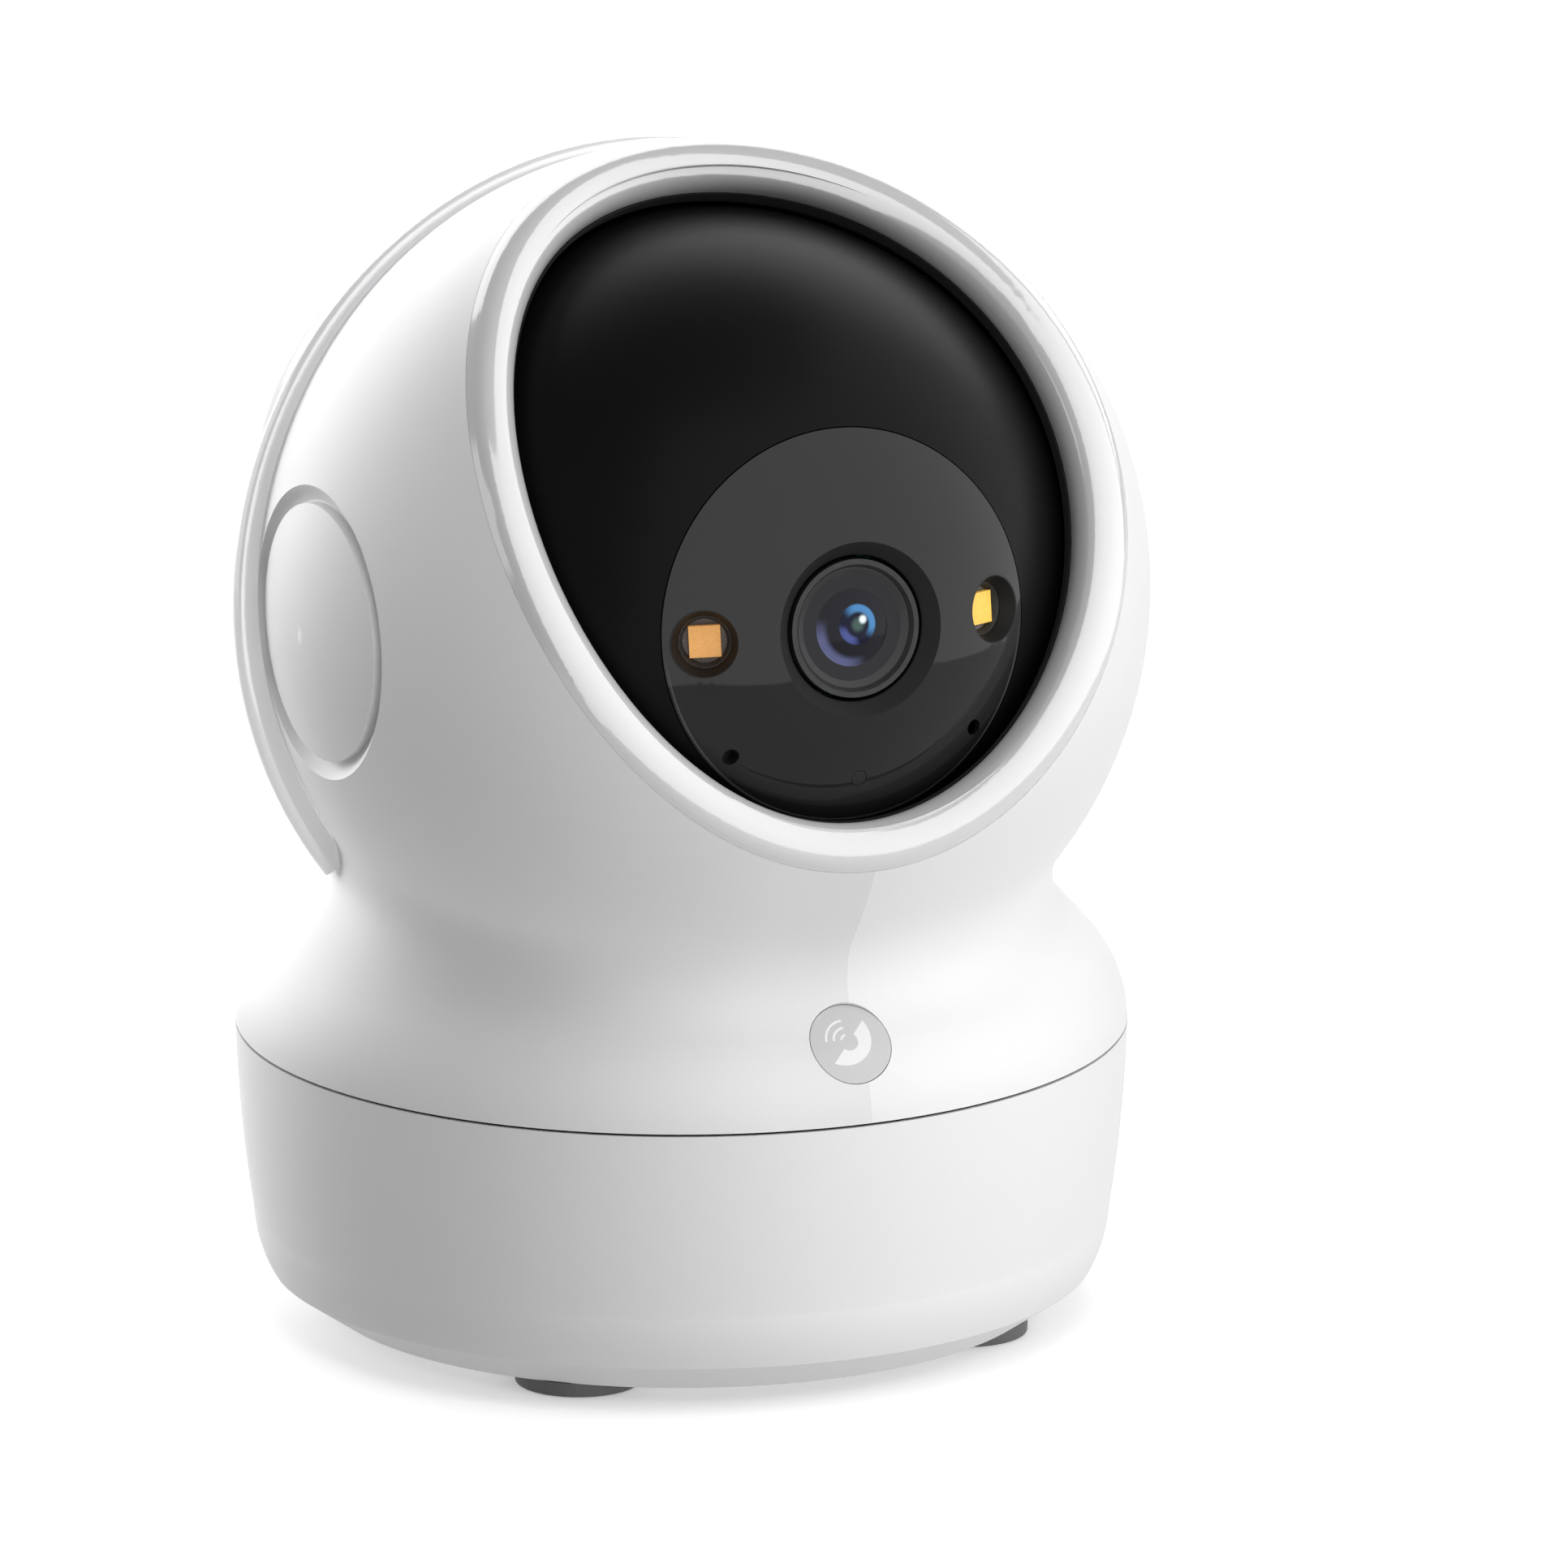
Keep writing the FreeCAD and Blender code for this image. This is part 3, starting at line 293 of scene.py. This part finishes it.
def polishedBlack():
    # clear-coated panel; the lamp and lens funnels stay matt, and a fine pale line along the lower rim is a
    # painted highlight of its bevel
    made = finish("polishedBlack", "black_gloss", IOR=1.29)
    x, y = made.local(headCentre, lensTilt)[:2]
    swell = made.noise(70, 2)
    dust = made.noise(2600, 5, 0.7)
    radius = made.reach(x, y)
    funnels = made.inside(radius, lensPanel["funnel"])
    lampX = lensPanel["ball"] * math.sin(math.radians(lensPanel["lampAzimuth"]))
    for side in (-1, 1):
        squeezed = (x - side * lampX) * 1.1
        funnels = funnels + made.inside(made.reach(squeezed, y), lensPanel["lampMouth"])
    # painted highlight: a pale line on the bevel, only along the lower rim
    lower = made.inside(y, -3.0, 3.0)
    bevel = made.inside(abs(radius - lensPanel["bevel"]), lensPanel["bevelHighlightWidth"]) * lower
    dark = made.blend(swell, (0.0115, 0.0115, 0.012), (0.0135, 0.0135, 0.014))
    dark = made.blend(bevel, dark, (0.075, 0.075, 0.076))
    made.set("BaseColor", made.blend(funnels, dark, (0.0035, 0.0035, 0.0035)))
    made.set("Roughness", 0.05 + 0.05 * made.step(dust, 0.55, 0.75) + 0.5 * funnels)


def softBlack():
    made = finish("softBlack", "black_soft", IOR=1.4)
    grain = made.noise(3000, 3)
    made.set("BaseColor", made.blend(grain, (0.002, 0.002, 0.002), (0.005, 0.005, 0.005)))
    made.set("Roughness", 0.75 + 0.15 * grain)


def mouldedBlack():
    made = finish("mouldedBlack", "chip_black", IOR=1.5)
    grain = made.noise(2600, 3)
    made.set("BaseColor", made.blend(grain, (0.012, 0.012, 0.013), (0.025, 0.025, 0.026)))
    made.set("Roughness", 0.45 + 0.2 * grain)
    made.set("Normal", made.bump(grain, 0.00001, 0.4))


def footRubber():
    made = finish("footRubber", "foot_rubber", IOR=1.5)
    grain = made.noise(2200, 4, 0.6)
    made.set("BaseColor", made.blend(grain, (0.075, 0.075, 0.078), (0.12, 0.12, 0.122)))
    made.set("Roughness", 0.62 + 0.2 * grain)
    made.set("Normal", made.bump(grain, 0.00003, 0.5))


def smokedLight():
    made = finish("smokedLight", "smoke_light", IOR=1.29)
    grain = made.noise(3000, 2)
    made.set("BaseColor", made.blend(grain, (0.012, 0.012, 0.013), (0.016, 0.016, 0.017)))
    made.set("Roughness", 0.18 + 0.1 * grain)


# lens and lamps

def blackAnodised():
    made = finish("blackAnodised", "lens_metal", IOR=1.5, Specular=0.2)
    turned = made.noise(5200, 2, 0.5, stretch=(0.3, 1, 0.3))
    made.set("BaseColor", made.blend(turned, (0.020, 0.020, 0.021), (0.034, 0.034, 0.036)))
    made.set("Roughness", 0.3 + 0.18 * turned)
    made.set("Normal", made.bump(turned, 0.00001, 0.35))


# millimetres from the lens axis; offset is how far the inner rings sit off it
lensRings = {"dome": 3.68, "reflectionInner": 2.9, "inner": 1.9, "core": 1.2, "offset": 0.3}


def coatedGlass():
    # dark glass with painted reflections: violet and blue crescents on the element edges, a painted white
    # glint, and a faint painted glow of its own
    made = finish("coatedGlass", "lens_glass", IOR=1.5, Specular=0.08, EmissionStrength=0.35)
    x, y = made.local(headCentre, lensTilt)[:2]
    haze = made.noise(900, 3)
    radius = made.reach(x, y)
    innerRadius = made.reach(x, y, lensRings["offset"], lensRings["offset"])
    # painted reflections: crescents lit at the lower left and the upper right
    lowerLeftReflection = made.step((x * -0.7 + y * -0.7) / (radius + 0.01), 0.35, 0.95)
    upperRightReflection = made.step((x * 0.7 + y * 0.7) / (innerRadius + 0.01), 0.05, 0.9)
    dome = made.inside(radius, lensRings["dome"])
    violetReflection = dome * (1.0 - made.inside(radius, lensRings["reflectionInner"], 0.35))
    innerReflectionBand = made.inside(innerRadius, lensRings["inner"], 0.1)
    innerReflectionBand = innerReflectionBand * (1.0 - made.inside(innerRadius, lensRings["core"], 0.2))
    # painted glint: a pale spot of reflected light
    glint = made.inside(made.reach(x, y, 0.85, 0.75), 0.34, 0.22)
    core = made.inside(innerRadius, 0.6, 0.3)
    colour = made.blend(haze, (0.017, 0.017, 0.019), (0.021, 0.021, 0.025))
    colour = made.blend(dome, colour, (0.012, 0.012, 0.016))
    colour = made.blend(violetReflection * lowerLeftReflection, colour, (0.10, 0.11, 0.22))
    colour = made.blend(made.inside(innerRadius, lensRings["inner"], 0.08), colour, (0.006, 0.007, 0.02))
    colour = made.blend(innerReflectionBand * lowerLeftReflection, colour, (0.06, 0.08, 0.25))
    colour = made.blend(innerReflectionBand * upperRightReflection, colour, (0.06, 0.20, 0.42))
    colour = made.blend(core, colour, (0.05, 0.09, 0.08))
    colour = made.blend(glint, colour, (0.80, 0.90, 0.95))
    made.set("BaseColor", colour)
    made.set("EmissionColor", colour)
    made.set("Roughness", 0.06 + 0.05 * haze)


def phosphor(name, deep, bright):
    # yellow phosphor under clear resin, mottled
    made = finish(name, "lamp_phosphor", IOR=1.5, EmissionStrength=0.35)
    grains = made.voronoi(5200)
    cloud = made.noise(1500, 4, 0.6)
    colour = made.blend(made.step(grains * 0.6 + cloud * 0.7, 0.2, 0.8), deep, bright)
    made.set("BaseColor", colour)
    made.set("EmissionColor", colour)
    made.set("Roughness", 0.35 + 0.2 * cloud)
    made.set("Normal", made.bump(grains, 0.00002, 0.5))


def lampCup():
    made = finish("lampCup", "lamp_cup", IOR=1.5)
    grains = made.voronoi(6400)
    made.set("BaseColor", made.blend(grains, (0.006, 0.006, 0.006), (0.02, 0.02, 0.02)))
    made.set("Roughness", 0.4 + 0.3 * grains)
    made.set("Normal", made.bump(grains, 0.00004, 0.7))


def lampSeat():
    # grey ceramic floor that the lamp chip sits on
    made = finish("lampSeat", "circuit_board", IOR=1.5)
    grains = made.voronoi(5200)
    made.set("BaseColor", made.blend(grains, (0.05, 0.045, 0.042), (0.20, 0.18, 0.17)))
    made.set("Roughness", 0.5 + 0.3 * grains)
    made.set("Normal", made.bump(grains, 0.00004, 0.6))


# inside

def solderMask():
    made = finish("solderMask", "circuit_board", IOR=1.5, CoatWeight=0.3, CoatRoughness=0.15)
    weave = made.noise(1600, 2, 0.5)
    tracks = made.add("ShaderNodeTexBrick", {}, {"Vector": made.place(), "Scale": 420.0, "Mortar Size": 0.06,
                      "Color1": (0.012, 0.10, 0.045), "Color2": (0.016, 0.12, 0.055),
                      "Mortar": (0.03, 0.19, 0.09)})
    made.set("BaseColor", made.blend(0.25 * weave, tracks, (0.01, 0.07, 0.03)))
    made.set("Roughness", 0.3 + 0.12 * weave)


def platedSteel():
    made = finish("platedSteel", "steel", Metallic=1.0)
    brush = made.noise(1800, 4, 0.6, stretch=(1, 0.15, 1))
    made.set("BaseColor", made.blend(brush, (0.50, 0.50, 0.49), (0.66, 0.66, 0.65)))
    made.set("Roughness", 0.26 + 0.2 * brush)
    made.set("Normal", made.bump(brush, 0.00001, 0.4))


def machinedBrass():
    made = finish("machinedBrass", "brass", Metallic=1.0)
    z = made.axes()[2]
    rings = made.add("ShaderNodeMath", {"operation": "SINE"}, {0: z * 9800.0})
    made.set("BaseColor", made.blend(made.noise(500, 4), (0.62, 0.43, 0.18), (0.78, 0.58, 0.28)))
    made.set("Roughness", 0.24 + 0.14 * made.noise(900, 3))
    made.set("Normal", made.bump(rings, 0.00008, 0.8))


def naturalNylon():
    made = finish("naturalNylon", "natural_nylon", IOR=1.53, Subsurface=0.15, SubsurfaceScale=0.001)
    cloud = made.noise(300, 3)
    made.set("BaseColor", made.blend(cloud, (0.72, 0.70, 0.62), (0.80, 0.78, 0.71)))
    made.set("Roughness", 0.4 + 0.1 * cloud)


def whiteAcetal():
    made = finish("whiteAcetal", "acetal", IOR=1.48)
    cloud = made.noise(260, 3)
    made.set("BaseColor", made.blend(cloud, (0.76, 0.76, 0.73), (0.83, 0.83, 0.81)))
    made.set("Roughness", 0.33 + 0.12 * cloud)


for make in (matteShell, pannedShell, polishedWhite, printedGrey, lampSeat, satinBlack, polishedBlack,
             softBlack, mouldedBlack, footRubber, smokedLight, blackAnodised, coatedGlass, lampCup,
             solderMask, platedSteel, machinedBrass, naturalNylon, whiteAcetal):
    make()
# the rear cover's lacquer glows faintly: painted light that keeps it light in tone
polishedWhite("rearGloss", 0.2)
phosphor("amberPhosphor", (0.60, 0.27, 0.055), (0.76, 0.37, 0.10))
phosphor("yellowPhosphor", (0.72, 0.40, 0.035), (0.84, 0.52, 0.07))
print("finishes made,", len(finishes))

dress("matteShell", "base_shell", "bottom_cover", "side_cap_left", "side_cap_right")
dress("pannedShell", "pan_shell_left", "pan_shell_right")
dress("lampSeat", "lamp_boards")
dress("polishedWhite", "front_ring")
dress("rearGloss", "rear_cover")
dress("printedGrey", "call_button")
dress("satinBlack", "ball_front", "ball_rear", "turntable")
dress("polishedBlack", "lens_panel")
dress("softBlack", "gap_seal", "reset_button")
dress("mouldedBlack", "speaker", "call_switch", "lens_holder", "image_sensor", "memory_card", "reset_switch")
dress("footRubber", "rubber_feet")
dress("smokedLight", "status_light")
dress("blackAnodised", "lens_barrel", "lens_ring")
dress("coatedGlass", "front_glass", "rear_glass")
dress("amberPhosphor", "lamp_left")
dress("yellowPhosphor", "lamp_right")
dress("lampCup", "lamp_cups")
dress("solderMask", "main_board", "sensor_board", "front_board", "wifi_antenna")
dress("platedSteel", "bottom_screws", "board_screws", "power_socket", "pan_motor", "pan_motor_screws",
      "tilt_motor", "ball_screws", "card_reader", "tilt_axle_left", "tilt_axle_right", "microphones")
dress("machinedBrass", "mount_insert")
dress("naturalNylon", "pan_bush", "tilt_bush_left", "tilt_bush_right", "pan_pinion")
dress("whiteAcetal", "pan_gear")
print("CAD nodes dressed")


# pieces modelled over the CAD solids

feet = {"radius": 0.006, "height": 0.0014, "circle": 0.0285, "edge": 0.00035, "lip": 0.0009, "slope": 0.0004,
        "dish": 0.0003}
# a black band that stands for the shadow in the seam gap
gapShadow = {"outer": 0.0419, "inner": 0.0403, "low": 0.02818, "high": 0.02844}


def deselected():
    bpy.ops.object.select_all(action="DESELECT")


def selectFaces(piece, wanted):
    # in edit mode, leaves selected just the faces that pass the test
    bpy.ops.mesh.select_all(action="DESELECT")
    edit = bmesh.from_edit_mesh(piece.data)
    for face in edit.faces:
        face.select_set(wanted(face))
    bmesh.update_edit_mesh(piece.data)


def baked(piece, name):
    # the finished piece's object ends at the origin, unturned and unscaled
    piece.name = name
    deselected()
    piece.select_set(True)
    bpy.context.view_layer.objects.active = piece
    bpy.ops.object.transform_apply(location=True, rotation=True, scale=True)
    bpy.ops.object.shade_smooth_by_angle(angle=math.radians(30))
    return piece


def makeFoot(index):
    # rubber pad with a softened edge and a shallow dish on its underside
    angle = math.radians(45 + 90 * index)
    deselected()
    bpy.ops.mesh.primitive_cylinder_add(
        vertices=64, radius=feet["radius"], depth=feet["height"],
        location=(feet["circle"] * math.cos(angle), feet["circle"] * math.sin(angle), feet["height"] / 2))
    foot = bpy.context.object
    bpy.ops.object.mode_set(mode="EDIT")
    selectFaces(foot, lambda face: face.normal.z < -0.9)
    bpy.ops.mesh.bevel(offset=feet["edge"], segments=4, affect="EDGES")
    selectFaces(foot, lambda face: face.normal.z < -0.99 and len(face.verts) > 8)
    bpy.ops.mesh.inset(thickness=feet["lip"])
    bpy.ops.mesh.inset(thickness=feet["slope"])
    bpy.ops.transform.translate(value=(0, 0, feet["dish"]))
    bpy.ops.object.mode_set(mode="OBJECT")
    return keep(baked(foot, "rubberFoot%d" % (index + 1)), "base", "footRubber", "rubber_feet")


def makeGapShadow():
    # black band put in the joint between the base and the turning skirt, where it stands as painted shadow
    # in the gap
    deselected()
    bpy.ops.mesh.primitive_cylinder_add(
        vertices=192, radius=gapShadow["outer"], depth=gapShadow["high"] - gapShadow["low"],
        location=(0, 0, (gapShadow["high"] + gapShadow["low"]) / 2))
    band = bpy.context.object
    bpy.ops.object.mode_set(mode="EDIT")
    selectFaces(band, lambda face: abs(face.normal.z) > 0.9)
    bpy.ops.mesh.inset(thickness=gapShadow["outer"] - gapShadow["inner"])
    bpy.ops.mesh.bridge_edge_loops()
    bpy.ops.mesh.select_all(action="SELECT")
    bpy.ops.mesh.normals_make_consistent(inside=False)
    bpy.ops.object.mode_set(mode="OBJECT")
    return keep(baked(band, "seamShadowBand"), "base", "softBlack")


for index in range(4):
    makeFoot(index)
makeGapShadow()
print("feet and seam felt made")


# studio

# degrees and metres; viewWidth is what the camera takes in across, at its target
studio = {"azimuth": -25.15, "elevation": 15.27, "distance": 4.147, "viewWidth": 0.148387,
          "target": Vector((0, 0, 0.056)), "right": 0.00972, "down": 0.00477,
          "ambient": 0.14, "glossAir": 0.6, "whiteShade": 0.87,
          "floorSize": 30, "floorDrop": 0.00005, "floorGlow": 0.34}
softBoxes = {  # azimuth, elevation, share of the light, side of the square, whether gloss shows it
    "backSoftBox": (180, 20, 0.66, 0.7, True),
    "backLeftSoftBox": (-150, 5, 0.55, 0.6, True),
    "lowSoftBox": (0, -30, 0.40, 0.7, False),
    "topSoftBox": (0, 65, 0.37, 0.7, False),
    "rightSoftBox": (55, 12, 0.45, 0.7, False),
}
cards = {  # distance, lower edge, height, azimuths from and to, glow
    "frontCard": (0.28, 0.006, 0.62, -45, 95, 2.6),
    "backCard": (0.60, 0.10, 0.80, 105, 215, 3.2),
    "leftCard": (0.50, 0.02, 0.40, -140, -75, 1.8),
}


def direction(azimuth, elevation):
    a, e = math.radians(azimuth), math.radians(elevation)
    return Vector((math.sin(a) * math.cos(e), -math.cos(a) * math.cos(e), math.sin(e)))


def aimed(thing, place, target):
    thing.location = place
    thing.rotation_euler = (place - target).to_track_quat("Z", "Y").to_euler()


def softBox(name, azimuth, elevation, share, side, glossy):
    # share is the brightness it gives to a white face turned to it
    light = bpy.data.lights.new(name, "AREA")
    light.shape = "SQUARE"
    light.size = side
    light.energy = share * math.pi ** 2 / studio["whiteShade"]
    lamp = bpy.data.objects.new(name, light)
    bpy.context.scene.collection.objects.link(lamp)
    aimed(lamp, studio["target"] + direction(azimuth, elevation), studio["target"])
    lamp.visible_camera = False
    lamp.visible_glossy = glossy
    return lamp


def azimuthOf(face):
    middle = face.calc_center_median()
    return math.degrees(math.atan2(middle.x, -middle.y))


def makeCard(name, radius, low, tall, start, end, glowStrength):
    # bent white card round the object, which only glossy surfaces show
    deselected()
    bpy.ops.mesh.primitive_cylinder_add(vertices=72, radius=radius, depth=tall, end_fill_type="NOTHING",
                                        location=(0, 0, low + tall / 2))
    card = bpy.context.object
    card.name = name
    bpy.ops.object.mode_set(mode="EDIT")
    selectFaces(card, lambda face: (azimuthOf(face) - start) % 360 > end - start)
    bpy.ops.mesh.delete(type="FACE")
    bpy.ops.object.mode_set(mode="OBJECT")
    glow = Finish(name + "Glow", None, BaseColor=(0, 0, 0), EmissionColor=(1, 1, 1), Specular=0.0,
                  EmissionStrength=glowStrength)
    card.data.materials.append(glow.material)
    card.visible_camera = False
    card.visible_diffuse = False
    card.visible_shadow = False
    card.visible_transmission = False


def makeStudio():
    deselected()
    bpy.ops.mesh.primitive_plane_add(size=studio["floorSize"], location=(0, 0, -studio["floorDrop"]))
    floor = bpy.context.object
    floor.name = "studioFloor"
    paper = Finish("studioPaper", None, Roughness=0.9, EmissionColor=(1, 1, 1),
                   EmissionStrength=studio["floorGlow"])
    fibre = paper.noise(700, 4)
    paper.set("BaseColor", paper.blend(fibre, (0.86, 0.86, 0.86), (0.89, 0.89, 0.89)))
    floor.data.materials.append(paper.material)
    floor.visible_diffuse = False
    floor.visible_shadow = False
    for name, values in softBoxes.items():
        softBox(name, *values)
    world = bpy.data.worlds.new("studioAir")
    world.use_nodes = True
    bpy.context.scene.world = world
    tree = world.node_tree
    surroundings = tree.nodes["Background"]
    surroundings.inputs["Color"].default_value = (1, 1, 1, 1)
    surroundings.inputs["Strength"].default_value = studio["ambient"]
    seen = tree.nodes.new("ShaderNodeBackground")
    glossed = tree.nodes.new("ShaderNodeBackground")
    glossed.inputs["Strength"].default_value = studio["glossAir"]
    path = tree.nodes.new("ShaderNodeLightPath")
    glossMix = tree.nodes.new("ShaderNodeMixShader")
    tree.links.new(path.outputs["Is Glossy Ray"], glossMix.inputs[0])
    tree.links.new(surroundings.outputs[0], glossMix.inputs[1])
    tree.links.new(glossed.outputs[0], glossMix.inputs[2])
    mix = tree.nodes.new("ShaderNodeMixShader")
    tree.links.new(path.outputs["Is Camera Ray"], mix.inputs[0])
    tree.links.new(glossMix.outputs[0], mix.inputs[1])
    tree.links.new(seen.outputs[0], mix.inputs[2])
    tree.links.new(mix.outputs[0], tree.nodes["World Output"].inputs[0])
    seen.inputs["Color"].default_value = (1, 1, 1, 1)


def makeCamera():
    towards = direction(studio["azimuth"], studio["elevation"])
    right = Vector((0, 0, 1)).cross(towards).normalized()
    up = towards.cross(right)
    target = studio["target"] + right * studio["right"] - up * studio["down"]
    lens = bpy.data.cameras.new("studioCamera")
    lens.lens = studio["distance"] * lens.sensor_width / studio["viewWidth"]
    camera = bpy.data.objects.new("studioCamera", lens)
    bpy.context.scene.collection.objects.link(camera)
    aimed(camera, target + towards * studio["distance"], target)
    bpy.context.scene.camera = camera
    bpy.context.scene.view_settings.view_transform = "Standard"


makeStudio()
for name, values in cards.items():
    makeCard(name, *values)
makeCamera()
print("studio made")
